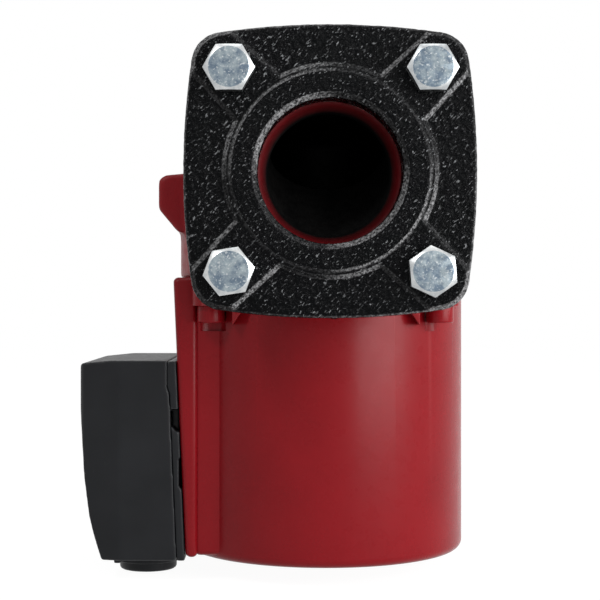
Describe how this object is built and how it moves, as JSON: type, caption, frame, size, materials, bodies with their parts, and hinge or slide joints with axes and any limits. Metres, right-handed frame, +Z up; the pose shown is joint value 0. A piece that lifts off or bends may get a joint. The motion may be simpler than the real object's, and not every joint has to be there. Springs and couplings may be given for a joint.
{
  "type": "in-line circulator pump",
  "caption": "In-line wet-rotor circulator pump: square flanged ports on a cast volute, motor hanging below and a side terminal box with a pull-off cover.",
  "frame": {"origin": "where the pipe axis crosses the motor axis", "axes": "+Y along the pipe from inlet to outlet, +Z up along the motor axis, terminal box on the -X side"},
  "size_m": [0.1882, 0.267, 0.2485],
  "materials": {
    "red_paint": "smooth satin stoving enamel on cast metal",
    "black_paint": "rough textured powder coat on cast iron",
    "zinc_steel": "bright zinc plating, brushed face",
    "gasket_fibre": "grey compressed fibre",
    "black_plastic": "fine matt moulded grain",
    "stainless": "drawn stainless sheet",
    "electrical_steel": "stacked laminations",
    "copper_winding": "varnished wire",
    "ceramic": "ground ceramic",
    "vent_brass": "turned brass",
    "black_rubber": "matt rubber",
    "white_plastic": "moulded"
  },
  "bodies": {
    "pump": {"pump_housing": "red_paint", "stator_housing": "red_paint", "motor_screw_1": "red_paint", "motor_screw_2": "red_paint", "motor_screw_3": "red_paint", "motor_screw_4": "red_paint", "inlet_flange": "black_paint", "outlet_flange": "black_paint", "inlet_bolt_1": "zinc_steel", "inlet_bolt_2": "zinc_steel", "inlet_bolt_3": "zinc_steel", "inlet_bolt_4": "zinc_steel", "outlet_bolt_1": "zinc_steel", "outlet_bolt_2": "zinc_steel", "outlet_bolt_3": "zinc_steel", "outlet_bolt_4": "zinc_steel", "inlet_nut_1": "zinc_steel", "inlet_nut_2": "zinc_steel", "inlet_nut_3": "zinc_steel", "inlet_nut_4": "zinc_steel", "outlet_nut_1": "zinc_steel", "outlet_nut_2": "zinc_steel", "outlet_nut_3": "zinc_steel", "outlet_nut_4": "zinc_steel", "base_screw_front": "zinc_steel", "base_screw_rear": "zinc_steel", "inlet_gasket": "gasket_fibre", "outlet_gasket": "gasket_fibre", "terminal_box_base": "black_plastic", "neck_ring": "stainless", "rotor_can": "stainless", "bearing_plate": "stainless", "lower_bearing_plate": "stainless", "stator_core": "electrical_steel", "winding_upper": "copper_winding", "winding_lower": "copper_winding", "bearing_upper": "ceramic", "bearing_lower": "ceramic", "housing_seal": "black_rubber", "vent_seal": "black_rubber", "cover_gasket": "black_rubber", "lead_grommet": "black_rubber", "terminal_block": "white_plastic", "capacitor": "white_plastic"},
    "rotor": {"rotor_core": "electrical_steel", "shaft": "ceramic", "thrust_ring": "ceramic", "impeller": "stainless", "impeller_nut": "stainless"},
    "cover": {"terminal_box_cover": "black_plastic", "cover_screw_front": "zinc_steel", "cover_screw_rear": "zinc_steel", "entry_plug": "black_plastic", "entry_locknut": "black_plastic"},
    "vent": {"vent_plug": "vent_brass"}
  },
  "joints": [
    {"name": "rotor_spin", "type": "hinge", "parent": "pump", "child": "rotor", "pos_m": [0, 0, 0], "axis": [0, 0, 1], "continuous": true},
    {"name": "cover_slide", "type": "slide", "parent": "pump", "child": "cover", "axis": [-1, 0, 0], "range_m": [0, 0.05]},
    {"name": "vent_turn", "type": "hinge", "parent": "pump", "child": "vent", "pos_m": [0, 0, -0.175], "axis": [0, 0, -1], "range_deg": [0, 360]}
  ]
}
